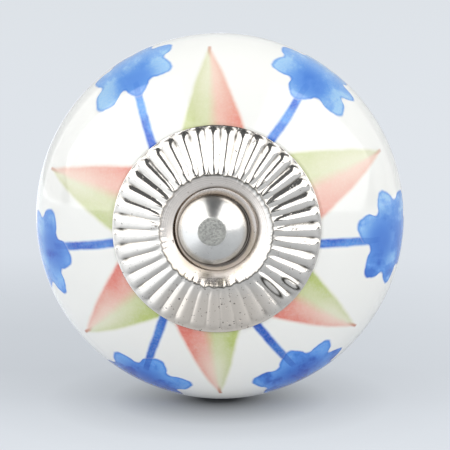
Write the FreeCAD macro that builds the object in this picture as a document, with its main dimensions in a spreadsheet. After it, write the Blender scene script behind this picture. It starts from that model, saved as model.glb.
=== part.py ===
# Painted ceramic cabinet knob with a fluted metal rosette, in millimetres.
# Each piece is drawn about its own Z axis, with heights measured forward, and is then
# turned so that the knob faces -Y, its bolt runs along +Y and up is +Z. The origin is on
# the knob's axis in the plane of the drawer face that the base cup stands on.
import FreeCAD, Part
import math
import os
import re
import Sketcher

SIZES = {
    # ceramic body: an oval crown in front of its widest line and a deeper oval back
    "knob_radius": 21.0,
    "crown_bulge": 11.9,
    "back_bulge": 13.4,
    "foot_radius": 8.6,
    "foot_rounding": 0.6,
    "flat_margin": 0.15,
    "flat_rounding": 1.0,
    "bore_clearance": 0.4,
    # front rosette: one pressed sheet with a flat rim, a fluted dome and a cup
    "rosette_radius": 11.7,
    "rim_band": 0.25,
    "rim_rounding": 0.12,
    "sheet_gauge": 0.3,
    "crest_radius": 6.3,
    "crest_rise": 1.6,
    "crest_lip": 0.25,
    "cup_curve": 4.0,
    "flute_count": 39,
    "flute_depth": 0.38,
    "flute_share": 0.95,
    "flute_nose": 2.0,
    "rosette_clearance": 0.1,
    # bolt: a domed head with a small flat, a reduced shank and an M4 thread
    "head_radius": 3.93,
    "head_height": 2.25,
    "head_edge": 0.75,
    "head_flat": 1.58,
    "head_clearance": 0.25,
    "thread_radius": 2.0,
    "shank_step": 0.23,
    "tip_reach": 30.0,
    "tip_chamfer": 0.5,
    "thread_clearance": 0.2,
    # how far the bolt sits to the left of the knob's axis, within its wide holes
    "side_play": 0.45,
    # base cup: a pressed collar that carries the ceramic off the drawer face
    "cup_radius": 10.0,
    "cup_band": 1.0,
    "neck_radius": 7.6,
    "neck_rounding": 0.6,
    "cup_height": 5.5,
    "cove_radius": 7.0,
    "cup_wall": 0.8,
    # washer and clamp nut inside the base cup
    "washer_radius": 4.5,
    "washer_gauge": 0.8,
    "washer_clearance": 0.15,
    "nut_width": 7.0,
    "nut_height": 3.2,
    "nut_land": 3.3,
    "nut_slope": 30.0,
    "nut_clearance": 0.02,
}

# Sizes and places that follow from the driving ones above
WORKED = {
    "shank_radius": "thread_radius - shank_step",
    "bore_radius": "thread_radius + side_play + bore_clearance",
    "hole_radius": "thread_radius + side_play + rosette_clearance",
    "land_radius": "head_radius + side_play + head_clearance",
    "flat_radius": "rosette_radius + flat_margin",
    "back_depth": "back_bulge * sqrt(1 - (foot_radius / knob_radius)^2)",
    "crown_depth": "crown_bulge * sqrt(1 - (flat_radius / knob_radius)^2)",
    "equator_height": "cup_height + back_depth",
    "front_height": "equator_height + crown_depth",
    "head_seat": "front_height + sheet_gauge",
    "head_top": "head_seat + head_height",
    "dome_rise": "head_height - head_edge",
    "dome_drop": "(head_radius^2 - head_flat^2 - dome_rise^2) / (2 * dome_rise)",
    "head_dome": "sqrt(head_radius^2 + dome_drop^2)",
    # the dome of the rosette is a cone, and the flutes are cones with the same apex
    "flange_radius": "rosette_radius - rim_band",
    "cone_slope": "crest_rise / (flange_radius - crest_radius)",
    "cone_tilt": "atan(cone_slope)",
    "cone_apex": "sheet_gauge + flange_radius * cone_slope",
    "cone_reach": "flange_radius / cos(cone_tilt)",
    "flute_half": "flute_share * flange_radius * tan(180deg / flute_count)",
    "flute_round": "(flute_half^2 + flute_depth^2) / (2 * flute_depth)",
    "flute_sink": "asin((flute_round - flute_depth) / cone_reach)",
    "flute_flare": "atan(flute_round / (cone_reach * cos(flute_sink)))",
    "flute_start": "cone_reach * land_radius / flange_radius",
    # each flute ends in a nose, an arc tangent to its side that comes down to the flat rim
    "nose_across": "cone_reach * cos(flute_sink) - flute_nose * sin(flute_flare)",
    "nose_up": "cone_reach * sin(flute_sink) + flute_nose * cos(flute_flare)",
    "nose_half": "nose_across + nose_up * tan(flute_flare)",
    "nose_rest": "(nose_across^2 + nose_up^2 - flute_nose^2) / cos(flute_flare)^2",
    "nose_start": "(nose_half - sqrt(nose_half^2 - nose_rest)) * cos(flute_flare)^2",
    "nose_place": "nose_start + flute_nose * sin(flute_flare)",
    "nose_depth": "flute_nose * cos(flute_flare) - nose_start * tan(flute_flare)",
    "flute_end": "nose_place + sqrt(flute_nose^2 - nose_depth^2)",
    "hollow_nose": "flute_nose - sheet_gauge",
    "hollow_bend": "nose_place - hollow_nose * sin(flute_flare)",
    "hollow_end": "nose_place + sqrt(hollow_nose^2 - nose_depth^2)",
    # the cup's wall is an arc from its flat land up to a lip above the crest
    "lip_height": "sheet_gauge + crest_rise + crest_lip",
    "cup_run": "crest_radius - land_radius",
    "cup_rise": "lip_height - sheet_gauge",
    "cup_chord": "sqrt(cup_run^2 + cup_rise^2)",
    "cup_bow": "sqrt(cup_curve^2 - cup_chord^2 / 4)",
    "arc_place": "(land_radius + crest_radius) / 2 - cup_bow * cup_rise / cup_chord",
    "arc_height": "(sheet_gauge + lip_height) / 2 + cup_bow * cup_run / cup_chord",
    "outer_curve": "cup_curve + sheet_gauge",
    "under_place": "arc_place + sqrt(outer_curve^2 - arc_height^2)",
    "under_apex": "cone_apex - sheet_gauge / cos(cone_tilt)",
    "under_gap": "under_apex - arc_height",
    "under_half": "arc_place + cone_slope * under_gap",
    "under_rest": "(1 + cone_slope^2) * (arc_place^2 + under_gap^2 - outer_curve^2)",
    "under_crest": "(under_half + sqrt(under_half^2 - under_rest)) / (1 + cone_slope^2)",
    "under_height": "under_apex - cone_slope * under_crest",
    "under_edge": "under_apex / cone_slope",
    "hollow_start": "(under_crest + sheet_gauge / 2) / cos(cone_tilt)",
    # the stack inside the base cup
    "cup_hole": "thread_radius + side_play + washer_clearance",
    "washer_seat": "cup_height - cup_wall",
    "washer_hole": "thread_radius + washer_clearance",
    "nut_front": "washer_seat - washer_gauge",
    "nut_rear": "nut_front - nut_height",
    "nut_hole": "shank_radius + nut_clearance",
    "thread_top": "nut_rear - thread_clearance",
    "nut_corner": "nut_width / 2 / cos(30deg)",
    "chamfer_reach": "nut_corner + nut_clearance",
    "chamfer_drop": "(chamfer_reach - nut_land) * tan(nut_slope * 1deg)",
}

CLOSE = 1e-4
CONVEX = 1
CONCAVE = -1


def make_sheet(document):
    """Keeps every size in one spreadsheet, under its own name."""
    sheet = document.addObject("Spreadsheet::Sheet", "Sizes")
    cells = {name: str(size) for name, size in SIZES.items()}
    cells.update({name: "=" + formula for name, formula in WORKED.items()})
    for row, (name, content) in enumerate(cells.items(), 1):
        sheet.set(f"A{row}", name)
        sheet.set(f"B{row}", content)
        sheet.setAlias(f"B{row}", name)
    document.recompute()
    return sheet


def named(formula):
    """The same formula with the sheet's name before each size."""
    def lead(word):
        known = word[0] in SIZES or word[0] in WORKED
        return f"Sizes.{word[0]}" if known else word[0]
    return re.sub(r"[a-z]\w*", lead, formula)


def size(formula):
    """What a formula over the sizes comes to."""
    result = sheet.evalExpression(formula)
    return float(getattr(result, "Value", result))


def bind(thing, path, formula):
    thing.setExpression(path, named(formula))


def new_body(label):
    body = document.addObject("PartDesign::Body", label)
    body.Label = label
    return body


def new_sketch(body, name, role="XZ_Plane"):
    """A sketch on one of the body's own planes; on XZ it has radii across and heights up."""
    sketch = body.newObject("Sketcher::SketchObject", name)
    plane = next(entry for entry in body.Origin.OriginFeatures if entry.Role == role)
    sketch.AttachmentSupport = (plane, [""])
    sketch.MapMode = "FlatFace"
    return sketch


def datum(sketch, formula, kind, *places):
    """Adds a dimension to a sketch and binds it to a formula."""
    index = sketch.addConstraint(Sketcher.Constraint(kind, *places, size(formula)))
    bind(sketch, f"Constraints[{index}]", formula)


def hold(sketch, geometry, end, across, up):
    """Fixes one end of a line or arc at a distance across and a height up."""
    datum(sketch, across, "DistanceX", -1, 1, geometry, end)
    datum(sketch, up, "DistanceY", -1, 1, geometry, end)


def arc_between(start, finish, radius, bulge):
    """The short arc from start to finish, bulging out of a left-hand outline or into it."""
    chord = finish - start
    bow = math.sqrt(radius**2 - (chord.Length / 2) ** 2)
    aside = FreeCAD.Vector(-chord.y, chord.x, 0).normalize()
    centre = (start + finish) / 2 + aside * bow * bulge
    first, last = (start, finish) if bulge == CONVEX else (finish, start)
    angles = [math.atan2(point.y - centre.y, point.x - centre.x) for point in (first, last)]
    return Part.ArcOfCircle(Part.Circle(centre, FreeCAD.Vector(0, 0, 1), radius), *angles)


def outline(sketch, corners):
    """Draws a closed outline through corners taken left-handed, each held by two formulas.

    A corner is (across, up), or (across, up, radius, bulge) where an arc leaves it.
    """
    places = [FreeCAD.Vector(size(corner[0]), size(corner[1]), 0) for corner in corners]
    sides = []
    for index, corner in enumerate(corners):
        start, finish = places[index], places[(index + 1) % len(corners)]
        if len(corner) == 2:
            side = sketch.addGeometry(Part.LineSegment(start, finish), False)
            sides.append((side, 1, 2))
            continue
        radius, bulge = corner[2:]
        side = sketch.addGeometry(arc_between(start, finish, size(radius), bulge), False)
        sides.append((side, 1, 2) if bulge == CONVEX else (side, 2, 1))
        datum(sketch, radius, "Radius", side)
    for index, corner in enumerate(corners):
        side, start, _ = sides[index]
        before, _, finish = sides[index - 1]
        sketch.addConstraint(Sketcher.Constraint("Coincident", before, finish, side, start))
        hold(sketch, side, start, corner[0], corner[1])


def turn(body, kind, sketch, axis="V_Axis"):
    """Turns a sketch once round an axis, as a Revolution that adds or a Groove that cuts."""
    feature = body.newObject(f"PartDesign::{kind}", f"{sketch.Name}_{kind}")
    feature.Profile = sketch
    feature.ReferenceAxis = (sketch, [axis])
    feature.Angle = 360
    document.recompute()
    return feature


def repeat_round(body, feature, count):
    """Repeats a feature evenly round the body's own axis."""
    pattern = body.newObject("PartDesign::PolarPattern", f"{feature.Name}_ring")
    pattern.Originals = [feature]
    axis = next(entry for entry in body.Origin.OriginFeatures if entry.Role == "Z_Axis")
    pattern.Axis = (axis, [""])
    pattern.Angle = 360
    bind(pattern, "Occurrences", count)
    body.Tip = pattern
    document.recompute()
    return pattern


def circles(feature, radius, height):
    """Names of a feature's circular edges of one radius at one height."""
    names = []
    for index, edge in enumerate(feature.Shape.Edges, 1):
        if not isinstance(edge.Curve, Part.Circle):
            continue
        off = abs(edge.Curve.Radius - size(radius)) + abs(edge.Curve.Center.z - size(height))
        if off < CLOSE:
            names.append(f"Edge{index}")
    return names


def round_over(body, feature, radius, height, rounding):
    """Rounds the circular edge at a radius and height."""
    fillet = body.newObject("PartDesign::Fillet", f"{feature.Name}_rounded")
    fillet.Base = (feature, circles(feature, radius, height))
    bind(fillet, "Radius", rounding)
    document.recompute()
    return fillet


def place(piece, height="0", aside="0"):
    """Turns a piece to face -Y and sets it at its height ahead of the drawer face."""
    facing = FreeCAD.Rotation(FreeCAD.Vector(1, 0, 0), 90)
    piece.Placement = FreeCAD.Placement(FreeCAD.Vector(0, 0, 0), facing)
    bind(piece, "Placement.Base.x", aside)
    bind(piece, "Placement.Base.y", f"-({height})")
    return piece


def oval(sketch, bulge, first, last):
    """Draws an arc of an ellipse about the knob's widest line, between two of its angles."""
    middle = FreeCAD.Vector(0, size("equator_height"), 0)
    ellipse = Part.Ellipse(middle, size("knob_radius"), size(bulge))
    arc = sketch.addGeometry(Part.ArcOfEllipse(ellipse, first, last), False)
    sketch.exposeInternalGeometry(arc)
    long_axis, short_axis = arc + 1, arc + 2
    sketch.addConstraint(Sketcher.Constraint("Horizontal", long_axis))
    datum(sketch, f"2 * {bulge}", "Distance", short_axis)
    return arc


def ceramic_body():
    """One turned and glazed piece: its crown and back are ovals that meet at its widest line."""
    body = new_body("ceramic_body")
    sketch = new_sketch(body, "ceramic_profile")
    foot = FreeCAD.Vector(size("foot_radius"), size("cup_height"), 0)
    flat = FreeCAD.Vector(size("flat_radius"), size("front_height"), 0)
    foot_inner = FreeCAD.Vector(size("bore_radius"), foot.y, 0)
    flat_inner = FreeCAD.Vector(size("bore_radius"), flat.y, 0)
    foot_line = sketch.addGeometry(Part.LineSegment(foot_inner, foot), False)
    back = oval(sketch, "back_bulge", -math.acos(foot.x / size("knob_radius")), 0)
    crown = oval(sketch, "crown_bulge", 0, math.acos(flat.x / size("knob_radius")))
    flat_line = sketch.addGeometry(Part.LineSegment(flat, flat_inner), False)
    bore_line = sketch.addGeometry(Part.LineSegment(flat_inner, foot_inner), False)
    sketch.addConstraint([
        Sketcher.Constraint("Coincident", foot_line, 2, back, 1),
        Sketcher.Constraint("Coincident", back, 2, crown, 1),
        Sketcher.Constraint("Coincident", back, 3, crown, 3),
        Sketcher.Constraint("PointOnObject", crown, 3, -2),
        Sketcher.Constraint("Coincident", crown, 2, flat_line, 1),
        Sketcher.Constraint("Coincident", flat_line, 2, bore_line, 1),
        Sketcher.Constraint("Coincident", bore_line, 2, foot_line, 1),
        Sketcher.Constraint("Horizontal", foot_line),
        Sketcher.Constraint("Horizontal", flat_line),
        Sketcher.Constraint("Vertical", bore_line),
    ])
    datum(sketch, "equator_height", "DistanceY", -1, 1, crown, 3)
    hold(sketch, crown, 1, "knob_radius", "equator_height")
    datum(sketch, "foot_radius", "DistanceX", -1, 1, foot_line, 2)
    datum(sketch, "flat_radius", "DistanceX", -1, 1, crown, 2)
    datum(sketch, "bore_radius", "DistanceX", -1, 1, bore_line, 2)

    turned = turn(body, "Revolution", sketch)
    eased = round_over(body, turned, "flat_radius", "front_height", "flat_rounding")
    round_over(body, eased, "foot_radius", "cup_height", "foot_rounding")
    return place(body)


def flute_sketch(body, name):
    """A sketch whose across axis runs down a flute's middle from the cones' apex."""
    sketch = new_sketch(body, name)
    bind(sketch, "AttachmentOffset.Base.y", "cone_apex")
    bind(sketch, "AttachmentOffset.Rotation.Angle", "-cone_tilt - flute_sink")
    return sketch


def front_rosette():
    """One pressed sheet: a solid blank is fluted, cupped and then hollowed to its gauge."""
    body = new_body("front_rosette")
    blank = new_sketch(body, "blank")
    outline(blank, [
        ("0", "0"),
        ("rosette_radius", "0"),
        ("rosette_radius", "sheet_gauge"),
        ("flange_radius", "sheet_gauge"),
        ("crest_radius", "sheet_gauge + crest_rise"),
        ("0", "sheet_gauge + crest_rise"),
    ])
    turned = turn(body, "Revolution", blank)
    round_over(body, turned, "rosette_radius", "sheet_gauge", "rim_rounding")

    flute = flute_sketch(body, "flute")
    outline(flute, [
        ("flute_start", "0"),
        ("flute_start", "-flute_start * tan(flute_flare)"),
        ("nose_start", "-nose_start * tan(flute_flare)", "flute_nose", CONVEX),
        ("flute_end", "0"),
    ])
    repeat_round(body, turn(body, "Revolution", flute, "H_Axis"), "flute_count")

    cup = new_sketch(body, "cup")
    outline(cup, [
        ("0", "-sheet_gauge"),
        ("hole_radius", "-sheet_gauge"),
        ("hole_radius", "sheet_gauge"),
        ("land_radius", "sheet_gauge", "cup_curve", CONVEX),
        ("crest_radius", "lip_height"),
        ("crest_radius", "cone_apex"),
        ("0", "cone_apex"),
    ])
    turn(body, "Groove", cup)

    under = new_sketch(body, "underside")
    outline(under, [
        ("under_place", "-flute_nose"),
        ("rosette_radius + flute_nose", "-flute_nose"),
        ("rosette_radius + flute_nose", "0"),
        ("under_edge", "0"),
        ("under_crest", "under_height", "outer_curve", CONCAVE),
        ("under_place", "0"),
    ])
    turn(body, "Groove", under)

    hollow = flute_sketch(body, "hollow")
    outline(hollow, [
        ("hollow_start", "0"),
        ("hollow_start", "sheet_gauge / cos(flute_flare) - hollow_start * tan(flute_flare)"),
        ("hollow_bend", "nose_depth - hollow_nose * cos(flute_flare)", "hollow_nose", CONVEX),
        ("hollow_end", "0"),
    ])
    repeat_round(body, turn(body, "Groove", hollow, "H_Axis"), "flute_count")
    return place(body, "front_height")


def bolt():
    """One turned bolt: its thread is drawn at full radius, behind a shank of pitch radius."""
    body = new_body("bolt")
    profile = new_sketch(body, "bolt_profile")
    outline(profile, [
        ("0", "-tip_reach"),
        ("thread_radius - tip_chamfer", "-tip_reach"),
        ("thread_radius", "tip_chamfer - tip_reach"),
        ("thread_radius", "thread_top"),
        ("shank_radius", "thread_top"),
        ("shank_radius", "head_seat"),
        ("head_radius", "head_seat"),
        ("head_radius", "head_seat + head_edge", "head_dome", CONVEX),
        ("head_flat", "head_top"),
        ("0", "head_top"),
    ])
    turn(body, "Revolution", profile)
    return place(body, aside="-side_play")


def base_cup():
    """One pressed collar: a coved blank, hollowed to its wall and pierced for the bolt."""
    body = new_body("base_cup")
    blank = new_sketch(body, "cup_blank")
    outline(blank, [
        ("0", "0"),
        ("cup_radius", "0"),
        ("cup_radius", "cup_band", "cove_radius", CONCAVE),
        ("neck_radius", "cup_height"),
        ("0", "cup_height"),
    ])
    turned = turn(body, "Revolution", blank)
    eased = round_over(body, turned, "neck_radius", "cup_height", "neck_rounding")

    shell = body.newObject("PartDesign::Thickness", "cup_shell")
    rear = [
        f"Face{index}"
        for index, face in enumerate(eased.Shape.Faces, 1)
        if face.normalAt(0, 0).z < CLOSE - 1
    ]
    shell.Base = (eased, rear)
    bind(shell, "Value", "cup_wall")
    shell.Reversed = True
    document.recompute()

    hole = new_sketch(body, "cup_hole_profile")
    outline(hole, [
        ("0", "0"),
        ("cup_hole", "0"),
        ("cup_hole", "cup_height + cup_wall"),
        ("0", "cup_height + cup_wall"),
    ])
    turn(body, "Groove", hole)
    return place(body)


def washer():
    """A plain M4 washer against the inside of the base cup."""
    disc = document.addObject("Part::Cylinder", "washer_disc")
    bind(disc, "Radius", "washer_radius")
    bind(disc, "Height", "washer_gauge")
    pierce = document.addObject("Part::Cylinder", "washer_pierce")
    bind(pierce, "Radius", "washer_hole")
    bind(pierce, "Height", "washer_gauge")
    ring = document.addObject("Part::Cut", "washer")
    ring.Base = disc
    ring.Tool = pierce
    return place(ring, "nut_front", "-side_play")


def clamp_nut():
    """A hexagon nut that holds the knob together, with its corners turned off at both ends."""
    body = new_body("clamp_nut")
    hexagon = new_sketch(body, "hexagon", "XY_Plane")
    turns = [f"{60 * corner}deg" for corner in range(6)]
    outline(hexagon, [(f"nut_corner * cos({at})", f"nut_corner * sin({at})") for at in turns])
    tapping = hexagon.addGeometry(
        Part.Circle(FreeCAD.Vector(0, 0, 0), FreeCAD.Vector(0, 0, 1), size("nut_hole")), False
    )
    hexagon.addConstraint(Sketcher.Constraint("Coincident", tapping, 3, -1, 1))
    datum(hexagon, "nut_hole", "Radius", tapping)
    prism = body.newObject("PartDesign::Pad", "prism")
    prism.Profile = hexagon
    bind(prism, "Length", "nut_height")
    document.recompute()

    corners = new_sketch(body, "corners")
    outline(corners, [
        ("nut_land", "0"),
        ("chamfer_reach", "0"),
        ("chamfer_reach", "chamfer_drop"),
    ])
    outline(corners, [
        ("nut_land", "nut_height"),
        ("chamfer_reach", "nut_height - chamfer_drop"),
        ("chamfer_reach", "nut_height"),
    ])
    turn(body, "Groove", corners)
    return place(body, "nut_rear", "-side_play")


def check(pieces):
    """Stops before anything is written if an object failed or a cut took nothing away."""
    for entry in document.Objects:
        if {"Invalid", "Error"} & set(entry.State):
            raise ValueError(f"{entry.Name} failed to build: {entry.State}")
        if entry.TypeId == "PartDesign::Groove":
            if entry.Shape.Volume > entry.BaseFeature.Shape.Volume - CLOSE:
                raise ValueError(f"{entry.Name} cuts nothing")
    for piece in pieces:
        shape = piece.Shape
        if shape.isNull() or not shape.isValid() or len(shape.Solids) != 1:
            raise ValueError(f"{piece.Label} is not one valid solid")


document = FreeCAD.newDocument("cabinet_knob")
sheet = make_sheet(document)
pieces = [ceramic_body(), front_rosette(), bolt(), base_cup(), washer(), clamp_nut()]
document.recompute()
check(pieces)
os.makedirs("parts", exist_ok=True)
for piece in pieces:
    piece.Shape.exportStep(f"parts/{piece.Label}.step")
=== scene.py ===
"""Hand-painted cabinet knob: the looks of its pieces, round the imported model's fixed frame.

The knob's axis is the Y axis, its painted front faces -Y, and the drawer front is at y = 0.
Sizes are in mm where nothing else is said. The shaders' own places and reliefs are in metres.
"""

import functools
import math
import random

import bmesh
import bpy
from bpy.props import FloatProperty, FloatVectorProperty, IntProperty, PointerProperty
from mathutils import Matrix, Quaternion, Vector, noise


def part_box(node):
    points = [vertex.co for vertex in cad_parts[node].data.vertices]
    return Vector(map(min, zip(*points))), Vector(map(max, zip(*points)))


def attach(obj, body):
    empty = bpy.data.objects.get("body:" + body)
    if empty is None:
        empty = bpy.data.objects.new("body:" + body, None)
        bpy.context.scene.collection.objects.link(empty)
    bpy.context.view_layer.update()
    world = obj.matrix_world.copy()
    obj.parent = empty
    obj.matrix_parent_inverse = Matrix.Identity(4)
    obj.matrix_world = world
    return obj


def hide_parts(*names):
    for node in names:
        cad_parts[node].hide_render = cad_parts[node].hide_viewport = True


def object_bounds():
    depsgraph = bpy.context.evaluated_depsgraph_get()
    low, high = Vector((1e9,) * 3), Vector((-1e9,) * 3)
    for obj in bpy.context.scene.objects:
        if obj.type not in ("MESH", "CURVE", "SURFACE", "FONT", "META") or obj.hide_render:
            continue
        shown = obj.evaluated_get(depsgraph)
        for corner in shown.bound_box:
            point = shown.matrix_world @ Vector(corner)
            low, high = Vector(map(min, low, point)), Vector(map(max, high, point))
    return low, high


bl_info = {
    "name": "Painted cabinet knob",
    "version": (1, 0, 0),
    "blender": (4, 5, 0),
    "location": "3D View > Sidebar > Knob",
    "description": "Dresses the packed cabinet knob in glaze, paint and plated metal",
    "category": "Object",
}

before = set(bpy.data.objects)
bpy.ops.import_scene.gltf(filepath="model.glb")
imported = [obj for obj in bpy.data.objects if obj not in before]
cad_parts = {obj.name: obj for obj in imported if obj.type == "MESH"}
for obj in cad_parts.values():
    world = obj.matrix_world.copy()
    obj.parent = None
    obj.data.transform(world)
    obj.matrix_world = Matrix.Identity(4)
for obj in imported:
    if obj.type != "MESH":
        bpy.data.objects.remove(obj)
CAD_BOX = [list(corner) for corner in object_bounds()]

MM = 0.001
FULL_TURN = 2 * math.pi

# The painted body's two ovals share one middle: their half sizes across, forward and backward.
BODY_ACROSS = 21.0
BODY_FORWARD = 11.9
BODY_BACKWARD = 13.4
BODY_MIDDLE = 17.7248

# Heights ahead of the drawer front, the bolt's reach behind it and its place aside. The tip
# stops a hair short of the CAD box, so that rounding leaves nothing outside it.
ROSETTE_HEIGHT = -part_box("front_rosette")[1].y / MM
HEAD_SEAT = ROSETTE_HEIGHT + 0.3
HEAD_TOP = -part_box("bolt")[0].y / MM
TIP_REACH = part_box("bolt")[1].y / MM - 0.001
BOLT_ASIDE = -0.45
THREAD_TOP = 0.5

# Radii of the bolt: thread, shank, and the head's edge and flat.
THREAD_ROOT = 1.57
THREAD_CREST = 2.0
SHANK = 1.77
HEAD_EDGE = 3.93
HEAD_FLAT = 1.58

# The rosette's dome is a cone, and its flutes are cones with the same apex; angles in degrees.
CONE_APEX = 3.8573
CONE_SLOPE = 0.31068
FLUTE_DIP = 21.203
FLUTE_FLARE = 5.751
FLUTE_STEPS = 14

# The rosette's outline as (radius, height) from the rim's underside inward: the rim, the rings of
# the fluted sheet, the crest, the cup's wall as a curve with one handle, and the land.
RIM = ((11.66, 0.03), (11.7, 0.09), (11.7, 0.17), (11.67, 0.23), (11.63, 0.25))
SHEET_OUTER = 11.58
SHEET_INNER = 6.36
SHEET_RINGS = 42
CREST = 6.289
CUP_FOOT = 4.63
CUP_WALL = ((CREST, 1.97), (5.25, 1.50), (CUP_FOOT, 0.30))
CUP_RINGS = 17
LAND = ((4.4, 0.3), (4.1, 0.3), (3.5, 0.3), (2.55, 0.3), (2.55, 0.02))

# Where the flutes run out to the rim and to the crest, and the ring where the crest is jagged.
FLUTE_NOSE = 10.75
FLUTE_ROOT = 8.0
JAGGED = 6.33
JAGGED_REACH = 0.9

# Dents in the flutes, painted as dark loops that stand for their reflections: direction in degrees,
# middle, half length.
LOOPS = ((324.0, 10.25, 1.05), (314.0, 8.85, 1.45))

# The paint is laid out flat round the knob's axis, where 1 is the body's widest ring.
# Painted leaves, as (middle of the foot, tip, half width of the foot, strength).
LEAVES = (
    ((-0.015, 0.377), (-0.040, 0.790), 0.112, 0.78),
    ((0.323, 0.157), (0.733, 0.328), 0.133, 0.62),
    ((0.287, -0.241), (0.605, -0.457), 0.112, 1.15),
    ((-0.028, -0.369), (0.009, -0.776), 0.114, 1.25),
    ((-0.270, -0.217), (-0.598, -0.503), 0.132, 1.30),
    ((-0.354, 0.112), (-0.753, 0.236), 0.124, 0.80),
)

# Painted flowers, as (middle, stem's foot, petal tips as (direction in degrees, reach)).
FLOWERS = (
    ((-0.385, 0.700), (-0.238, 0.320), (
        (-16, 0.200), (45, 0.215), (95, 0.24), (140, 0.23),
        (184, 0.232), (245, 0.256), (292, 0.200))),
    ((0.440, 0.690), (0.195, 0.322), (
        (12, 0.25), (62, 0.24), (120, 0.22), (184, 0.215),
        (232, 0.230), (286, 0.248), (331, 0.232))),
    ((0.785, -0.066), (0.379, -0.052), (
        (56, 0.250), (118, 0.232), (163, 0.258), (216, 0.236),
        (268, 0.225), (318, 0.23), (5, 0.23))),
    ((0.382, -0.694), (0.145, -0.350), (
        (72, 0.225), (118, 0.225), (172, 0.242), (232, 0.24),
        (285, 0.22), (335, 0.25), (28, 0.212))),
    ((-0.350, -0.740), (-0.192, -0.325), (
        (14, 0.245), (58, 0.235), (114, 0.205), (184, 0.220),
        (232, 0.210), (276, 0.22), (318, 0.22))),
    ((-0.806, -0.118), (-0.375, -0.054), (
        (-7, 0.226), (57, 0.201), (119, 0.180), (165, 0.22),
        (215, 0.22), (259, 0.238), (307, 0.243))),
)
PETAL_SCALE = 0.3

# Lamps as (name, azimuth, elevation, roll, distance, width, height, strength, mirrored): angles in
# degrees from straight ahead, sizes in metres. The metal mirrors some, the others light the glaze.
LAMPS = (
    ("left_softbox", -51, 23, 45, 0.85, 1.12, 1.12, 1.0, True),
    ("right_softbox", 49, 22, -45, 0.85, 1.0, 1.0, 1.0, True),
    ("left_card", -108, 12, 0, 0.80, 0.6, 0.7, 0.55, True),
    ("right_card", 108, 12, 0, 0.80, 0.6, 0.7, 0.35, True),
    ("top_light", 0, 72, 0, 1.0, 0.9, 0.9, 0.92, False),
    ("left_light", -55, 37, 0, 1.0, 0.7, 0.7, 2.25, False),
    ("right_light", 55, 37, 0, 1.0, 0.7, 0.7, 2.5, False),
)

# Where the body meets the floor, in metres ahead of the drawer front, and the floor's half size.
CONTACT = 0.0182
FLOOR_HALF = 6.0

# The lens in mm, and how far the knob's middle is left of and above the picture's, in pixels,
# where a metre at a metre's distance is 3943 pixels.
LENS = 315.44
SHIFT_LEFT = 5.1
SHIFT_UP = 8.4
PIXELS = 3943


def srgb(red, green, blue):
    """A colour as a screen shows it, 0 to 255, as the scene's linear values."""
    def linear(level):
        level /= 255
        return level / 12.92 if level <= 0.04045 else ((level + 0.055) / 1.055) ** 2.4
    return (linear(red), linear(green), linear(blue))


def opaque(colour):
    return tuple(colour[:3]) + (1.0,)


class Signal:
    """A shader node's output that works in Python sums: each sum adds its Math node."""

    def __init__(self, finish, socket):
        self.finish = finish
        self.socket = socket

    def sum_with(self, operation, *terms):
        return self.finish.node("ShaderNodeMath", {"operation": operation}, dict(enumerate(terms)))

    def __add__(self, other):
        return self.sum_with("ADD", self, other)

    def __radd__(self, other):
        return self.sum_with("ADD", other, self)

    def __sub__(self, other):
        return self.sum_with("SUBTRACT", self, other)

    def __rsub__(self, other):
        return self.sum_with("SUBTRACT", other, self)

    def __mul__(self, other):
        return self.sum_with("MULTIPLY", self, other)

    def __rmul__(self, other):
        return self.sum_with("MULTIPLY", other, self)

    def __truediv__(self, other):
        return self.sum_with("DIVIDE", self, other)

    def __abs__(self):
        return self.sum_with("ABSOLUTE", self)

    def at_least(self, other):
        return self.sum_with("MAXIMUM", self, other)

    def at_most(self, other):
        return self.sum_with("MINIMUM", self, other)


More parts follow.
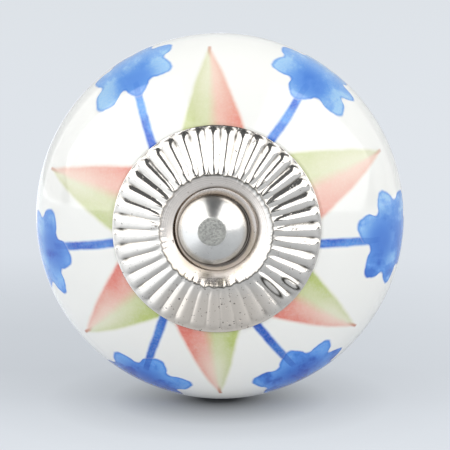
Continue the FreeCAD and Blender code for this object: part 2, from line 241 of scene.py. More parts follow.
class Finish:
    """One procedural material on the Principled shader."""

    def __init__(self, name, **constants):
        self.material = bpy.data.materials.new(name)
        self.material.use_nodes = True
        self.tree = self.material.node_tree
        self.shader = self.tree.nodes["Principled BSDF"]
        self.out = self.tree.nodes["Material Output"]
        for socket, value in constants.items():
            self.shader.inputs[socket.replace("_", " ")].default_value = value
        self.place = self.node("ShaderNodeTexCoord", output="Object")

    def node(self, kind, settings=None, inputs=None, output=0):
        """Any shader node: its settings first, then its sockets' values or links."""
        made = self.tree.nodes.new(kind)
        for name, value in (settings or {}).items():
            if name == "stops":
                ramp = made.color_ramp
                while len(ramp.elements) < len(value):
                    ramp.elements.new(1.0)
                for stop, (position, colour) in zip(ramp.elements, value):
                    stop.position = position
                    stop.color = opaque(colour)
            elif name == "points":
                curve = made.mapping.curves[0]
                while len(curve.points) < len(value):
                    curve.points.new(0.5, 0.5)
                for point, (across, up) in zip(curve.points, value):
                    point.location = (across, up)
                made.mapping.extend = "HORIZONTAL"
                made.mapping.update()
            else:
                setattr(made, name, value)
        for name, value in (inputs or {}).items():
            self.feed(made.inputs[name], value)
        return Signal(self, made.outputs[output])

    def feed(self, socket, value):
        if isinstance(value, Signal):
            self.tree.links.new(value.socket, socket)
        else:
            socket.default_value = value

    def set(self, **sockets):
        for name, value in sockets.items():
            self.feed(self.shader.inputs[name.replace("_", " ")], value)

    def vector(self, operation, *terms, output=0):
        return self.node(
            "ShaderNodeVectorMath", {"operation": operation}, dict(enumerate(terms)), output)

    def length(self, vector):
        return self.vector("LENGTH", vector, output="Value")

    def dot(self, first, second):
        return self.vector("DOT_PRODUCT", first, second, output="Value")

    def parts(self, vector):
        split = self.tree.nodes.new("ShaderNodeSeparateXYZ")
        self.feed(split.inputs[0], vector)
        return [Signal(self, socket) for socket in split.outputs]

    def join(self, x, y, z):
        return self.node("ShaderNodeCombineXYZ", inputs={0: x, 1: y, 2: z})

    def noise(self, scale, detail=2.0, where=None, roughness=0.5, output=0):
        return self.node("ShaderNodeTexNoise", inputs={
            "Vector": where or self.place, "Scale": scale, "Detail": detail,
            "Roughness": roughness}, output=output)

    def ease(self, value, low, high, start=0.0, end=1.0):
        """A smooth rise from start to end while value goes from low to high."""
        return self.node("ShaderNodeMapRange", {"interpolation_type": "SMOOTHSTEP"}, {
            "Value": value, "From Min": low, "From Max": high, "To Min": start, "To Max": end})

    def blend(self, share, first, second):
        """Two colours, mixed: share 0 gives the first."""
        colours = [c if isinstance(c, Signal) else opaque(c) for c in (first, second)]
        return self.node("ShaderNodeMix", {"data_type": "RGBA"}, {
            0: share, 6: colours[0], 7: colours[1]}, output=2)

    def bump(self, height, depth, after=None):
        """Relief of a depth in metres; after is the relief that it stands on."""
        inputs = {"Height": height, "Distance": depth}
        if after:
            inputs["Normal"] = after
        return self.node("ShaderNodeBump", inputs=inputs)

    def radius(self, aside=0.0):
        """Distance in mm from a line along Y, aside mm along X."""
        x, _, z = self.parts(self.place)
        return self.length(self.join(x / MM - aside, 0.0, z / MM))


def most(signals):
    """The largest of several signals."""
    return functools.reduce(Signal.at_least, signals)


def revolve(mesh, points, steps):
    """Turns an outline of (radius, height) points round the knob's axis."""
    verts = [mesh.verts.new((radius, 0, height)) for radius, height in points]
    edges = [mesh.edges.new(pair) for pair in zip(verts, verts[1:])]
    bmesh.ops.spin(
        mesh, geom=verts + edges, cent=(0, 0, 0), axis=(0, 0, 1), angle=FULL_TURN,
        steps=steps, use_merge=True)
    bmesh.ops.remove_doubles(mesh, verts=mesh.verts, dist=1e-5)


def arc(centre, radius, start, end, count):
    """Points on an arc; the angles are in degrees from across to forward."""
    for step in range(count + 1):
        angle = math.radians(start + (end - start) * step / count)
        yield (centre[0] + radius * math.cos(angle), centre[1] + radius * math.sin(angle))


def settle(mesh, name, finish, aside=0.0, height=0.0, sharp=None):
    """Turns local mm into the frame, points the faces outward and makes the object."""
    bmesh.ops.transform(mesh, verts=mesh.verts, matrix=Matrix.Diagonal((MM, MM, MM, 1)) @ (
        Matrix.Translation((aside, -height, 0)) @ Matrix.Rotation(math.radians(90), 4, "X")))
    bmesh.ops.recalc_face_normals(mesh, faces=mesh.faces)
    for face in mesh.faces:
        face.smooth = True
    if sharp:
        for edge in mesh.edges:
            if len(edge.link_faces) == 2 and edge.calc_face_angle(0) > math.radians(sharp):
                edge.smooth = False
    data = bpy.data.meshes.new(name)
    mesh.to_mesh(data)
    mesh.free()
    data.materials.append(finish.material)
    piece = bpy.data.objects.new(name, data)
    bpy.context.scene.collection.objects.link(piece)
    return piece


def dress(node, finish):
    """Gives a CAD node its finish."""
    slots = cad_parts[node].material_slots
    if not slots:
        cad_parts[node].data.materials.append(finish.material)
    for slot in slots:
        slot.material = finish.material


class KnobPaint(bpy.types.PropertyGroup):
    """Colours of the glaze and of the hand-painted leaves and flowers."""

    glaze: FloatVectorProperty(
        name="Glaze", description="The fired white under the paint", subtype="COLOR",
        default=srgb(250, 249, 243))
    pink: FloatVectorProperty(
        name="Leaf pink", description="Strong side of the leaf's warm half", subtype="COLOR",
        default=srgb(231, 126, 110))
    green: FloatVectorProperty(
        name="Leaf green", description="Strong side of the leaf's green half", subtype="COLOR",
        default=srgb(190, 203, 118))
    blue: FloatVectorProperty(
        name="Flower blue", description="Middle tone of flowers and stems", subtype="COLOR",
        default=srgb(76, 148, 236))
    stem: FloatProperty(
        name="Stem width", description="Half width of a stem, as a share of the body's radius",
        default=0.0185, min=0.005, max=0.04)


class KnobMetal(bpy.types.PropertyGroup):
    """Form of the pressed rosette and the bolt's thread."""

    flutes: IntProperty(
        name="Flutes", description="Raised flutes round the rosette", default=39, min=8, max=72)
    wander: FloatProperty(
        name="Hand pressing", description="How far flutes differ from each other",
        default=0.5, min=0.0, max=1.0)
    pitch: FloatProperty(
        name="Thread pitch", description="Rise of the bolt's thread in one turn, in mm",
        default=0.7, min=0.3, max=1.5)


class KnobStage(bpy.types.PropertyGroup):
    """Floor, lamps and camera."""

    floor: FloatVectorProperty(
        name="Floor", description="Pale floor and backdrop", subtype="COLOR",
        default=srgb(203, 208, 214))
    softbox: FloatProperty(
        name="Softboxes", description="Brightness that the metal mirrors",
        default=2.0, min=0.1, max=10)
    light: FloatProperty(
        name="Light", description="Brightness of the lamps on the knob",
        default=1.0, min=0.1, max=10)
    height: FloatProperty(
        name="Camera height", description="Angle of the camera above the horizon",
        subtype="ANGLE", default=math.radians(8))
    turn: FloatProperty(
        name="Camera turn", description="Angle of the camera round the knob",
        subtype="ANGLE", default=math.radians(2))
    distance: FloatProperty(
        name="Camera distance", description="From the lens to the body's widest ring",
        subtype="DISTANCE", default=0.45)


class PaintBody(bpy.types.Operator):
    """Glaze the ceramic body and paint its leaves and flowers"""

    bl_idname = "knob.paint_body"
    bl_label = "Painted body"

    def flat_place(self, finish):
        """The surface laid out flat round the axis, where 1 is the widest ring."""
        x, y, z = finish.parts(finish.place)
        x, ahead, z = x / MM, y / -MM - BODY_MIDDLE, z / MM
        across = finish.length(finish.join(x, 0.0, z)).at_least(1e-4)
        oval = ahead.at_least(0.0) / BODY_FORWARD + ahead.at_most(0.0) / BODY_BACKWARD
        spread = across / BODY_ACROSS
        reach = spread.sum_with("ARCTAN2", spread, oval) / (math.pi / 2)
        return finish.join(x / across * reach, z / across * reach, 0.0)

    def strokes(self, finish, flat):
        """Brush strokes run outward: the flat place, drawn long in that direction."""
        around, outward = 9.0, 4.5
        x, y, _ = finish.parts(flat)
        reach = finish.length(flat)
        return finish.join(x / reach * around, y / reach * around, reach * outward)

    def leaf(self, finish, where, foot, tip, width):
        """How much a leaf covers a place, where that is across and along it, and its tip's dot."""
        foot, tip = Vector(foot + (0,)), Vector(tip + (0,))
        length = (tip - foot).length
        ahead = (tip - foot) / length
        left = Vector((-ahead.y, ahead.x, 0))
        spot = finish.vector("SUBTRACT", where, foot)
        along = finish.dot(spot, ahead) / length
        aside = finish.dot(spot, left)
        half = ((1.0 - along) * (1.0 + 0.10 * along)).at_least(0.0) * width + 0.003
        room = half - abs(aside)
        ends = finish.ease(along, 1.02, 0.97) * finish.ease(along, -0.6, -0.4)
        dot = finish.ease(along, 0.76, 0.97) * finish.ease(abs(aside), 0.012, 0.002)
        dot = dot * finish.ease(along, 1.025, 0.985)
        return finish.ease(room, -0.007, 0.017) * ends, aside / half, along, dot

    def leaves(self, finish, where, wash, grain, paint):
        """Glaze and leaves: each has a warm and a green half that fade into each other."""
        covers, sides, places, strengths, dots = [], [], [], [], []
        for foot, tip, width, strength in LEAVES:
            cover, aside, along, dot = self.leaf(finish, where, foot, tip, width)
            covers.append(cover)
            sides.append(cover * aside)
            places.append(cover * along)
            strengths.append(cover * strength)
            dots.append(dot * min(1.0, 0.8 * strength))
        side, along, strength = [sum(row[1:], start=row[0]) for row in (sides, places, strengths)]
        depth = 0.05 + 0.42 * finish.ease(abs(side), 0.20, 1.0)
        depth = depth + finish.ease(along, 0.55, -0.05) * 0.48
        depth = (depth * strength * (0.50 + 1.0 * wash)).at_most(1.0)
        warm = finish.blend(depth, srgb(246, 218, 200), paint.pink)
        cool = finish.blend(depth, srgb(236, 234, 206), paint.green)
        leaf = finish.blend(finish.ease(side, -0.30, 0.22), warm, cool)
        share = most(covers) * (0.74 + 0.46 * grain).at_most(1.0)
        colour = finish.blend(share, paint.glaze, leaf)
        return finish.blend(most(dots) * 0.85, colour, srgb(200, 116, 78))

    def flowers(self, finish, where, stem):
        """Stems, how far inside a flower's outline a place is, and how near to a pool of paint."""
        lines, depths, pools = [], [], []
        for middle, foot, petals in FLOWERS:
            start, end = Vector(foot + (0,)), Vector(middle + (0,))
            length = (end - start).length
            ahead = (end - start) / length
            spot = finish.vector("SUBTRACT", where, start)
            along = finish.dot(spot, ahead)
            aside = finish.dot(spot, (-ahead.y, ahead.x, 0))
            line = finish.ease(abs(aside), stem + 0.005, stem - 0.009)
            line = line * finish.ease(along, -0.08, -0.06)
            lines.append(line * finish.ease(along, length - 0.02, length - 0.15))
            x, y, _ = finish.parts(finish.vector("SUBTRACT", where, end))
            away = finish.length(finish.join(x, y, 0.0))
            turned = y.sum_with("ARCTAN2", y, x) / FULL_TURN + 0.5
            reach = finish.node(
                "ShaderNodeFloatCurve", {"points": petal_outline(petals)}, {"Value": turned})
            depths.append(reach * PETAL_SCALE - away)
            # The paint pools where stem and petals meet, and low on the knob further out.
            inward = 0.24 if middle[1] > -0.4 else 0.05
            pools.append(finish.vector(
                "DISTANCE", where, end.lerp(start, inward), output="Value"))
        return most(lines), most(depths), functools.reduce(Signal.at_most, pools)

    def execute(self, context):
        paint = context.scene.knob_paint
        finish = Finish("painted_glaze", Roughness=0.07, IOR=1.5, Coat_Roughness=0.03)
        flat = self.flat_place(finish)
        # The hand's unsteadiness moves every outline a little.
        hand = finish.noise(9.0, 4.0, flat, 0.6, output="Color")
        hand = finish.vector("SUBTRACT", hand, (0.5, 0.5, 0.5))
        where = finish.vector("MULTIPLY_ADD", hand, (0.014, 0.014, 0.0), flat)
        wash = finish.noise(14.0, 5.0, flat, 0.6)
        grain = finish.noise(90.0, 3.0, flat, 0.7)
        colour = self.leaves(finish, where, wash, grain, paint)

        # Stems and flowers, in thin blue wash with darker pools, painted darker low on the knob as
        # painted shade and paler high on it as painted light.
        stems, blooms, heart = self.flowers(finish, where, paint.stem)
        bloom = finish.ease(blooms, -0.007, 0.009)
        stroke = finish.noise(1.0, 4.0, self.strokes(finish, flat), 0.55)
        wash = 0.22 * wash + 0.40 * stroke + 0.38 * finish.noise(5.5, 3.0, flat)
        wash = wash - 0.11 * finish.ease(finish.length(flat), 0.70, 0.96)
        painted_shade_low = finish.ease(finish.parts(flat)[1], 0.45, -0.60)
        light = finish.ease(wash, 0.42, 0.56) * finish.ease(heart, 0.05, 0.16)
        light = light * finish.ease(blooms, 0.004, 0.024) * (1.0 - 0.55 * painted_shade_low)
        # The top of the knob is painted paler: painted light.
        light = (light + 0.55 * (1.0 - painted_shade_low)).at_most(1.0)
        # Low on the knob the pools and the wash are painted darker: painted shade.
        dark = finish.ease(heart, 0.17, 0.02) * (0.46 + 0.22 * painted_shade_low)
        dark = dark + finish.ease(wash, 0.50, 0.35) * (0.18 + 0.60 * painted_shade_low)
        dark = dark + finish.ease(blooms, 0.020, 0.0) * 0.26
        # Low on the knob the blues are painted deeper, as painted shade and a painted reflection of
        # the dark floor; high on it they are paler, as painted light.
        deep = finish.blend(painted_shade_low, srgb(30, 96, 206), srgb(8, 80, 188))
        lit = finish.blend(painted_shade_low, srgb(160, 206, 244), srgb(134, 196, 252))
        blue = finish.blend(light, paint.blue, lit)
        blue = finish.blend(dark.at_most(1.0), blue, deep)
        petal = bloom * (0.70 + 0.08 * painted_shade_low + 0.42 * grain + 0.3 * dark)
        colour = finish.blend(petal.at_most(1.0), colour, blue)
        # The stems are painted darker low on the knob too: painted shade.
        pale = finish.blend(painted_shade_low, srgb(104, 168, 238), srgb(58, 124, 208))
        tone = finish.blend(finish.ease(wash, 0.60, 0.42), pale, deep)
        tone = finish.blend(finish.ease(stems, 0.80, 0.25) * 0.6, tone, srgb(128, 190, 248))
        tone = finish.blend(bloom * 0.7, tone, deep)
        thin = stems + bloom * (finish.ease(stems, 0.70, 1.0) * (0.25 + 0.37 * painted_shade_low) - stems)
        colour = finish.blend((thin * (0.80 + 0.34 * grain)).at_most(1.0), colour, tone)

        relief = finish.noise(160.0, 2.0)
        finish.set(
            Base_Color=colour, Coat_Weight=0.35 + 0.2 * wash,
            Roughness=0.06 + 0.05 * finish.noise(700.0, 2.0),
            Normal=finish.bump(relief, 0.00003))
        dress("ceramic_body", finish)
        return {"FINISHED"}


def petal_outline(petals):
    """A flower's reach by direction, for a curve from 0 to 1, from its petals' tips."""
    tips = sorted(((angle + 180) / 360 % 1, reach) for angle, reach in petals)
    points = []
    for (here, reach), (then, other) in zip(tips, tips[1:] + [(tips[0][0] + 1, tips[0][1])]):
        gap = then - here
        notch = min(reach, other) * 0.75
        points += [
            (here, reach), (here + gap * 0.15, reach * 0.94), (here + gap * 0.33, reach * 0.83),
            (here + gap * 0.5, notch), (here + gap * 0.67, other * 0.83),
            (here + gap * 0.85, other * 0.94)]
    points = [(across % 1, up / PETAL_SCALE) for across, up in points]
    points.sort()
    first, last = points[0], points[-1]
    share = (1 - last[0]) / (1 - last[0] + first[0])
    middle = last[1] + (first[1] - last[1]) * share
    return [(0.0, middle)] + [p for p in points if 0.002 < p[0] < 0.998] + [(1.0, middle)]


def plated(name, base):
    """Bright plating with fine wear: its finish, clouding, pits and colour."""
    finish = Finish(name, Metallic=1.0)
    cloud = finish.noise(420.0, 4.0, roughness=0.6)
    specks = finish.noise(1500.0, 3.0, roughness=0.7)
    pits = finish.ease(specks, 0.66, 0.73)
    colour = finish.blend(finish.ease(cloud, 0.35, 0.75), base, [c * 0.90 for c in base[:3]])
    return finish, cloud, pits, colour


class PressRosette(bpy.types.Operator):
    """Press the front rosette: fluted sheet with a cupped middle"""

    bl_idname = "knob.press_rosette"
    bl_label = "Front rosette"

    def execute(self, context):
        metal = context.scene.knob_metal
        finish, cloud, pits, colour = plated("plated_sheet", srgb(229, 224, 217))
        around = finish.radius(BOLT_ASIDE * 0.5)
        x, _, z = finish.parts(finish.place)
        low = finish.ease(z, 0.0012, -0.0036)
        # Low in the middle the plating is painted a little warmer and paler: a painted reflection.
        painted_low_sheen = finish.ease(z, -0.0052, -0.0085) * finish.ease(abs(x), 0.0085, 0.0035)
        colour = finish.blend(painted_low_sheen, colour, srgb(243, 232, 219))
        # The cup is painted paler than the sheet, a painted reflection, and a little warmer.
        cup = finish.ease(around, 6.25, 6.10)
        colour = finish.blend(cup, colour, srgb(251, 242, 233))
        tarnish = finish.ease(around, 4.55 + 0.75 * low, 4.15) * (0.45 + 0.8 * cloud)
        tarnish = tarnish.at_most(1.0)
        colour = finish.blend(tarnish * 0.85, colour, srgb(176, 146, 112))
        # Yellow stains lie low in the cup.
        stain = finish.ease(finish.noise(430.0, 3.0), 0.46, 0.64) * cup * low
        colour = finish.blend(stain * 0.55, colour, srgb(204, 194, 166))
        # The cup round the head is painted near black, painted shade in the gap, widest low on the
        # right.
        gap = finish.length(finish.join(x / MM - BOLT_ASIDE - 0.22, 0.0, z / MM + 0.16))
        gap = finish.ease(gap + 0.25 * cloud, 4.36, 4.14)
        colour = finish.blend(gap * 0.95, colour, srgb(38, 30, 24))
        # A brownish dark patch low in the cup, left of the middle.
        dark_patch_low = finish.length(finish.join((x / MM + 1.25) * 0.45, 0.0, z / MM + 5.05))
        dark_patch_low = finish.ease(dark_patch_low + 0.5 * cloud, 0.80, 0.35)
        colour = finish.blend(dark_patch_low * 0.75, colour, srgb(112, 104, 84))
        # The mesh's dark grooves, crease and loops: old polish, painted shade and painted
        # reflections.
        grime = finish.node("ShaderNodeAttribute", {"attribute_name": "grime"}, output=2)
        grime = (grime * (0.55 + 0.9 * cloud)).at_most(1.0)
        colour = finish.blend(grime, colour, srgb(70, 68, 62))
        colour = finish.blend(pits * 0.7, colour, srgb(70, 66, 62))
        lines = finish.node("ShaderNodeTexNoise", {"noise_dimensions": "1D"}, {
            "W": around * 9.0, "Scale": 1.0, "Detail": 3.0})
        turning = lines * finish.ease(around, 6.3, 6.0)
        colour = finish.blend(
            finish.ease(lines, 0.42, 0.64) * cup * 0.50, colour, srgb(214, 204, 195))
        fine = finish.ease(finish.noise(2400.0, 2.0, roughness=0.8), 0.645, 0.70)
        colour = finish.blend(fine * finish.ease(z, -0.001, -0.005) * 0.8, colour, srgb(84, 80, 76))
        relief = finish.bump(cloud, 0.000012)
        relief = finish.bump(turning, 0.000012, relief)
        dish = (5.95 - around.at_least(4.66)).at_least(0.0)
        relief = finish.bump(dish * dish, 0.00042, relief)
        relief = finish.bump(pits, -0.00003, relief)
        finish.set(
            Base_Color=colour, Normal=relief,
            Roughness=0.09 + 0.08 * cloud + 0.16 * tarnish + 0.3 * grime + 0.25 * pits
            + finish.ease(abs(around - 4.95), 0.50, 0.15) * 0.16
            + finish.ease(around, 6.3, 6.1) * low * 0.12)

        count = metal.flutes
        rng = random.Random(count)
        nature = [
            [rng.uniform(-1, 1) * metal.wander for trait in range(6)] for flute in range(count)]
        dip, flare = math.radians(FLUTE_DIP), math.radians(FLUTE_FLARE)

        def rise(radius, angle):
            """Height of the fluted sheet's front above its underside, in mm."""
            dome = CONE_APEX - radius * CONE_SLOPE
            turned = angle / FULL_TURN * count
            sway, strong, nose, root, roll, lean = nature[round(turned) % count]
            along = (radius - 7.0) / 4.5
            off = (turned - round(turned)) / count * FULL_TURN
            off = off * (1 + 0.10 * sway) + math.radians(0.55) * lean * (along - 0.5)
            level = math.cos(off) * math.cos(dip)
            drop = math.atan2(math.sin(dip), level) - math.acos(
                min(1.0, math.cos(flare) / math.hypot(level, math.sin(dip))))
            over = CONE_APEX - radius * math.tan(drop) - dome
            # The flutes are flatter low on the rosette, and run out at both ends.
            calm = max(0.0, -math.sin(angle)) ** 4
            over *= (1 + 0.18 * strong) * (1 - 0.38 * calm)
            over += roll * 0.5 * off * max(0.0, over)
            over -= 0.55 * max(0.0, radius - FLUTE_NOSE - 0.10 * nose) ** 2
            over -= 0.075 * max(0.0, FLUTE_ROOT + 0.4 * root - radius) ** 2
            soft = 0.03
            return dome + 0.5 * (over + math.sqrt(over * over + soft * soft)) - 0.5 * soft

        def waver(radius, angle):
            """The sheet's own unevenness, in mm."""
            spot = Vector((radius * math.cos(angle), radius * math.sin(angle), 0.7))
            coarse, fine = noise.noise(spot * 0.7), noise.noise(spot * 2.6)
            return metal.wander * (0.022 * coarse + 0.007 * fine)

        def dark_grooves(radius, angle):
            """How dark the grooves are, most at their outer ends and less low on the rosette: old
            polish and painted shade, with a painted shaded band along the rim's upper half and
            painted reflections of dents as dark loops.
            """
            turned = angle / FULL_TURN * count + 0.5
            traits = nature[round(turned) % count]
            valley = max(0.0, 1 - abs(turned - round(turned)) / (0.16 + 0.10 * traits[3]))
            end = max(0.0, 1 - abs(radius - FLUTE_NOSE) / (0.8 + 0.5 * traits[4]))
            rim = max(0.0, 1 - abs(radius - 11.45) / 0.2) * max(0.0, 0.5 + 0.5 * math.sin(angle))
            dark = valley * (0.10 + max(0.0, 0.7 + 0.8 * traits[5]) * end)
            dark = dark * (1 - 0.8 * max(0.0, -math.sin(angle)) ** 2) + 0.35 * rim
            for direction, middle, half in LOOPS:
                aside = (angle - math.radians(direction)) * radius / 0.32
                ring = math.hypot(aside, (radius - middle) / half)
                dark = max(dark, 1.3 * max(0.0, 1 - abs(ring - 1) / 0.36))
            return min(1.0, dark)

        mesh = bmesh.new()
        front = list(RIM)
        for step in range(SHEET_RINGS):
            inward = (SHEET_OUTER - SHEET_INNER) * step / (SHEET_RINGS - 1)
            front.append((SHEET_OUTER - inward, 0.4))
        wall = []
        for step in range(CUP_RINGS):
            share = step / (CUP_RINGS - 1)
            parts = ((1 - share) ** 2, 2 * share * (1 - share), share ** 2)
            wall.append([sum(p * point[k] for p, point in zip(parts, CUP_WALL)) for k in (0, 1)])
        revolve(mesh, front + wall + list(LAND) + front[:1], count * FLUTE_STEPS)
        grime = mesh.verts.layers.float.new("grime")
        for vert in mesh.verts:
            radius = math.hypot(vert.co.x, vert.co.y)
            angle = math.atan2(vert.co.y, vert.co.x) % FULL_TURN
            if SHEET_INNER - 0.01 < radius < SHEET_OUTER + 0.02:
                innermost = radius < SHEET_INNER + 0.01
                vert.co.z = rise(radius, angle) + waver(radius, angle)
                # The innermost ring, at the crease, is painted dark: a painted reflection.
                vert[grime] = 0.75 if innermost else dark_grooves(radius, angle)
            elif CUP_FOOT + 0.02 < radius <= SHEET_INNER - 0.01:
                # The cup's lip follows the flutes that end at it, and its foot stays level.
                share = ((radius - 4.65) / 1.7) ** 9
                vert.co.z += share * (
                    rise(SHEET_INNER, angle) + waver(radius, angle)
                    - CONE_APEX + SHEET_INNER * CONE_SLOPE)
                # The cup's lip at the crest is painted dark too: the same painted reflection.
                vert[grime] = max(0.0, 1 - 6 * (CREST - radius)) * 0.75
            if 5.4 < radius < 7.2:
                share = max(0.0, 1 - abs(radius - JAGGED) / JAGGED_REACH) ** 2
                spot = Vector((math.cos(angle) * 11, math.sin(angle) * 11, 2.0))
                push = 0.07 * math.cos(angle * count) + 0.36 * noise.noise(spot)
                push += 0.20 * noise.noise(spot * 2.7)
                vert.co.xy *= 1 + metal.wander * share * push / radius
        piece = settle(mesh, "pressed_rosette", finish, height=ROSETTE_HEIGHT, sharp=50)
        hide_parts("front_rosette")
        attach(piece, "root")
        return {"FINISHED"}


class TurnBolt(bpy.types.Operator):
    """Turn the bolt: domed head with a flat, shank and cut thread"""

    bl_idname = "knob.turn_bolt"
    bl_label = "Bolt"

    def execute(self, context):
        metal = context.scene.knob_metal
        finish, cloud, pits, colour = plated("bolt_plating", srgb(228, 226, 222))
        around = finish.radius(BOLT_ASIDE)
        _, y, _ = finish.parts(finish.place)
        ahead = y / -MM
        flat = finish.ease(around, 1.68, 1.52) * finish.ease(ahead, HEAD_TOP - 0.4, HEAD_TOP - 0.1)
        grain = finish.ease(finish.noise(4200.0, 3.0, roughness=0.7), 0.38, 0.62)
        filed = finish.blend(grain, srgb(146, 146, 142), srgb(178, 178, 172))
        colour = finish.blend(flat * 0.95, colour, filed)
        # The head's edge where it sits in the cup is painted dark: painted shade in the gap.
        seam_shade = finish.ease(around, 3.72, 3.90) * finish.ease(ahead, HEAD_SEAT - 0.5, HEAD_SEAT)
        colour = finish.blend(seam_shade * 0.85, colour, srgb(64, 56, 48))
        colour = finish.blend(pits * 0.5, colour, srgb(84, 80, 76))
        relief = finish.bump(cloud, 0.00001)
        relief = finish.bump(grain * flat, 0.00003, relief)
        finish.set(
            Base_Color=colour, Normal=relief,
            Roughness=0.19 + 0.10 * cloud + 0.26 * flat + 0.2 * pits)

        mesh = bmesh.new()
        steps = 28
        pitch = metal.pitch
        # One tooth of the thread, as (radius, share of the pitch).
        tooth = ((THREAD_ROOT, 0.0), (THREAD_ROOT, 0.12), (THREAD_CREST, 0.5),
                 (THREAD_CREST, 0.62), (THREAD_ROOT, 1.0))
        low = -TIP_REACH - 1.5 * pitch
        turns = math.ceil((THREAD_TOP - low) / pitch) + 1
        verts = [mesh.verts.new((radius, 0, low + height * pitch)) for radius, height in tooth]
        edges = [mesh.edges.new(pair) for pair in zip(verts, verts[1:])]
        bmesh.ops.spin(
            mesh, geom=verts + edges, cent=(0, 0, 0), axis=(0, 0, 1), dvec=(0, 0, pitch / steps),
            angle=FULL_TURN * turns, steps=steps * turns)
        bmesh.ops.remove_doubles(mesh, verts=mesh.verts, dist=1e-4)
        self.trim(mesh, -TIP_REACH, (0, 0, -1))
        self.trim(mesh, THREAD_TOP, (0, 0, 1))
        for vert in mesh.verts:
            widest = THREAD_CREST - 0.62 * max(0.0, -TIP_REACH + 0.7 - vert.co.z)
            vert.co.xy *= min(1.0, widest / vert.co.xy.length)
        head = [(0.0, HEAD_TOP), (0.8, HEAD_TOP), (1.45, HEAD_TOP), (HEAD_FLAT, HEAD_TOP - 0.015)]
        head += [(r, h + HEAD_SEAT) for r, h in arc((0, -2.8146), 5.3056, 72.0, 42.21, 22)]
        head += [(HEAD_EDGE, HEAD_SEAT + 0.7), (HEAD_EDGE, HEAD_SEAT + 0.05), (3.88, HEAD_SEAT),
                 (1.9, HEAD_SEAT), (SHANK, HEAD_SEAT - 0.1), (SHANK, THREAD_TOP),
                 (1.5, THREAD_TOP - 0.08), (0.0, THREAD_TOP - 0.08)]
        revolve(mesh, head, 96)
        piece = settle(mesh, "domed_bolt", finish, aside=BOLT_ASIDE, sharp=40)
        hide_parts("bolt")
        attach(piece, "root")
        return {"FINISHED"}

    def trim(self, mesh, height, normal):
        """Cuts the mesh off beyond a height and closes the cut."""
        cut = bmesh.ops.bisect_plane(
            mesh, geom=mesh.verts[:] + mesh.edges[:] + mesh.faces[:], dist=1e-6,
            plane_co=(0, 0, height), plane_no=normal, clear_outer=True)
        rim = [item for item in cut["geom_cut"] if isinstance(item, bmesh.types.BMEdge)]
        bmesh.ops.contextual_create(mesh, geom=rim)


class DressCollar(bpy.types.Operator):
    """Plate the base cup that stands against the drawer"""

    bl_idname = "knob.dress_collar"
    bl_label = "Base cup"

    def execute(self, context):
        finish, cloud, pits, colour = plated("cup_plating", srgb(229, 224, 217))
        colour = finish.blend(pits * 0.6, colour, srgb(76, 72, 68))
        relief = finish.bump(cloud, 0.00001)
        finish.set(Base_Color=colour, Normal=relief, Roughness=0.08 + 0.10 * cloud + 0.2 * pits)
        dress("base_cup", finish)
        return {"FINISHED"}


class DressFastenings(bpy.types.Operator):
    """Give the washer and the clamp nut their dull zinc"""

    bl_idname = "knob.dress_fastenings"
    bl_label = "Washer and nut"

    def execute(self, context):
        finish, cloud, _, colour = plated("zinc_plating", srgb(190, 192, 192))
        colour = finish.blend(finish.ease(cloud, 0.40, 0.70) * 0.5, colour, srgb(158, 162, 168))
        relief = finish.bump(cloud, 0.00002)
        finish.set(Base_Color=colour, Normal=relief, Roughness=0.28 + 0.2 * cloud)
        for node in ("washer", "clamp_nut"):
            dress(node, finish)
        return {"FINISHED"}


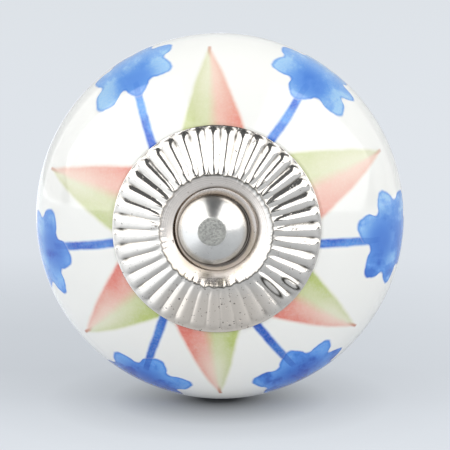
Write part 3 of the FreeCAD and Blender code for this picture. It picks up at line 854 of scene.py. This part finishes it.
class SetStage(bpy.types.Operator):
    """Set the pale floor, the lamps, the room and the camera"""

    bl_idname = "knob.set_stage"
    bl_label = "Stage"

    def floor(self, stage):
        """The floor shines by itself, with a painted shade band round the knob and a painted
        contact shadow, mixed with a little of its real shading.
        """
        finish = Finish("stage_floor", Roughness=0.6)
        tree = finish.tree
        x, y, _ = finish.parts(finish.place)
        path = tree.nodes.new("ShaderNodeLightPath")
        camera, glossy, clear = [
            Signal(finish, path.outputs[name])
            for name in ("Is Camera Ray", "Is Glossy Ray", "Is Transmission Ray")]
        seen = camera.at_least(glossy).at_least(clear)
        # The floor's tone is painted: a painted shade band round the knob's place, lighter to the
        # right and far behind.
        band = finish.node("ShaderNodeValToRGB", {"stops": (
            (0.0, srgb(226, 231, 237)), (0.03, srgb(219, 224, 230)), (0.08, srgb(209, 214, 220)),
            (0.15, srgb(203, 208, 214)), (0.30, srgb(204, 209, 215)), (0.45, srgb(209, 214, 220)),
            (0.70, srgb(221, 226, 232)), (1.0, srgb(223, 228, 234)))}, {
                "Fac": finish.ease(y, -0.06, 0.18)})
        side = finish.ease(x, -0.02, 0.05) * 0.60
        tint = finish.blend(side, band, srgb(225, 230, 236))
        tint = finish.blend(finish.ease(y, 0.2, 0.7), tint, srgb(221, 226, 231))
        # Close to the body the floor is painted darker, a painted contact shadow, most where the
        # two touch.
        under = finish.length(finish.join(x * 1.30, y + CONTACT, 0.0))
        shade = finish.node("ShaderNodeValToRGB", {"stops": (
            (0.0, (0.01,) * 3), (0.06, (0.02,) * 3), (0.20, (0.38,) * 3),
            (0.41, (0.78,) * 3), (0.65, (0.96,) * 3), (0.9, (1.0,) * 3))}, {"Fac": under / 0.04})
        # For glossy rays the floor is painted brighter on the left and darker in front, a painted
        # reflection, so that what the metal mirrors of it is brightest on the left.
        lit = 0.74 + finish.ease(x, -0.006, -0.034) * 0.90 + finish.ease(x, 0.0, 0.05) * 0.20
        level = 1.0 + glossy * (lit - 1.0)
        shade = finish.blend(glossy * 0.6, shade, (1.0, 1.0, 1.0))
        tint = finish.vector("MULTIPLY", tint, shade)
        tint = finish.vector("MULTIPLY", tint, finish.join(level, level, level))
        glow = tree.nodes.new("ShaderNodeEmission")
        finish.feed(glow.inputs["Color"], tint)
        mixed = tree.nodes.new("ShaderNodeMixShader")
        away = finish.length(finish.join(x, y + 0.018, 0.0))
        finish.feed(mixed.inputs[0], (0.87 + 0.13 * finish.ease(away, 0.03, 0.08)) * seen)
        tree.links.new(finish.shader.outputs[0], mixed.inputs[1])
        tree.links.new(glow.outputs[0], mixed.inputs[2])
        tree.links.new(mixed.outputs[0], finish.out.inputs["Surface"])
        # Bounce rays see a paler floor than the camera does: painted bounce light on the knob.
        finish.set(Base_Color=finish.blend(seen, srgb(222, 224, 227), stage.floor))
        mesh = bmesh.new()
        bmesh.ops.create_grid(mesh, x_segments=8, y_segments=8, size=FLOOR_HALF)
        bmesh.ops.translate(mesh, verts=mesh.verts, vec=(0, 0, CAD_BOX[0][2]))
        data = bpy.data.meshes.new("floor")
        mesh.to_mesh(data)
        mesh.free()
        data.materials.append(finish.material)
        floor = bpy.data.objects.new("floor", data)
        bpy.context.scene.collection.objects.link(floor)

    def softbox(self, name, azimuth, elevation, roll, distance, width, height, radiance, mirrored):
        """A lamp that faces the knob, for reflections or for light; the angles are in degrees."""
        lamp = bpy.data.lights.new(name, "AREA")
        lamp.shape = "RECTANGLE"
        lamp.size, lamp.size_y = width, height
        lamp.energy = radiance * math.pi * width * height
        turned, up = math.radians(azimuth), math.radians(elevation)
        level = math.cos(up)
        toward = Vector((math.sin(turned) * level, -math.cos(turned) * level, math.sin(up)))
        box = bpy.data.objects.new(name, lamp)
        box.location = Vector((0, -0.02, 0)) + toward * distance
        box.rotation_mode = "QUATERNION"
        box.rotation_quaternion = (
            Quaternion(toward, math.radians(roll)) @ toward.to_track_quat("Z", "Y"))
        box.visible_glossy = mirrored
        box.visible_diffuse = not mirrored
        bpy.context.scene.collection.objects.link(box)

    def execute(self, context):
        scene = context.scene
        stage = scene.knob_stage
        self.floor(stage)
        for *placing, strength, mirrored in LAMPS:
            brightness = stage.softbox if mirrored else stage.light
            self.softbox(*placing, brightness * strength, mirrored)
        self.room(scene)
        self.camera(scene, stage)
        return {"FINISHED"}

    def room(self, scene):
        """The room's light; mirrored, it is dark in front and overhead and pale behind the knob."""
        world = bpy.data.worlds.new("studio")
        scene.world = world
        world.use_nodes = True
        sky = world.node_tree.nodes["Background"]
        sky.inputs["Color"].default_value = opaque(srgb(226, 230, 235))
        nodes, links = world.node_tree.nodes, world.node_tree.links
        path = nodes.new("ShaderNodeLightPath")
        toward = nodes.new("ShaderNodeTexCoord")
        split = nodes.new("ShaderNodeSeparateXYZ")
        behind = nodes.new("ShaderNodeMapRange")
        behind.interpolation_type = "SMOOTHSTEP"
        level = nodes.new("ShaderNodeMapRange")
        for node, socket, value in (
                (behind, "From Min", 0.35), (behind, "From Max", 0.85), (behind, "To Min", 0.15),
                (behind, "To Max", 0.80), (level, "To Min", 0.54)):
            node.inputs[socket].default_value = value
        links.new(toward.outputs["Generated"], split.inputs[0])
        links.new(split.outputs["Y"], behind.inputs["Value"])
        links.new(path.outputs["Is Glossy Ray"], level.inputs["Value"])
        links.new(behind.outputs[0], level.inputs["To Max"])
        links.new(level.outputs[0], sky.inputs["Strength"])
        scene.view_settings.view_transform = "Standard"

    def camera(self, scene, stage):
        """The camera looks past the body's widest ring, as the photo's does."""
        middle = Vector((0, -BODY_MIDDLE * MM, 0))
        back = Vector((
            math.sin(stage.turn) * math.cos(stage.height),
            -math.cos(stage.turn) * math.cos(stage.height), math.sin(stage.height)))
        lens = bpy.data.cameras.new("camera")
        lens.sensor_width = 36.0
        lens.lens = LENS
        lens.clip_start, lens.clip_end = 0.02, 50
        camera = bpy.data.objects.new("camera", lens)
        camera.location = middle + back * stage.distance
        camera.rotation_mode = "QUATERNION"
        look = (-back).to_track_quat("-Z", "Y")
        aim = look @ Vector((SHIFT_LEFT / PIXELS, -SHIFT_UP / PIXELS, -1.0))
        camera.rotation_quaternion = aim.to_track_quat("-Z", "Y")
        scene.collection.objects.link(camera)
        scene.camera = camera


class KnobPanel(bpy.types.Panel):
    """The knob's settings and its pieces"""

    bl_idname = "VIEW3D_PT_painted_knob"
    bl_label = "Painted knob"
    bl_space_type = "VIEW_3D"
    bl_region_type = "UI"
    bl_category = "Knob"

    def draw(self, context):
        for group in (context.scene.knob_paint, context.scene.knob_metal, context.scene.knob_stage):
            box = self.layout.box()
            for name in group.__annotations__:
                box.prop(group, name)
        for operator in OPERATORS:
            self.layout.operator(operator.bl_idname)


GROUPS = {"knob_paint": KnobPaint, "knob_metal": KnobMetal, "knob_stage": KnobStage}
OPERATORS = (PaintBody, PressRosette, TurnBolt, DressCollar, DressFastenings, SetStage)


def register():
    for part in (*GROUPS.values(), *OPERATORS, KnobPanel):
        bpy.utils.register_class(part)
    for name, group in GROUPS.items():
        setattr(bpy.types.Scene, name, PointerProperty(type=group))


def unregister():
    for name in GROUPS:
        delattr(bpy.types.Scene, name)
    for part in reversed((*GROUPS.values(), *OPERATORS, KnobPanel)):
        bpy.utils.unregister_class(part)


def main():
    register()
    bpy.ops.knob.paint_body()
    bpy.ops.knob.press_rosette()
    bpy.ops.knob.turn_bolt()
    bpy.ops.knob.dress_collar()
    bpy.ops.knob.dress_fastenings()
    bpy.ops.knob.set_stage()


if __name__ == "__main__":
    main()
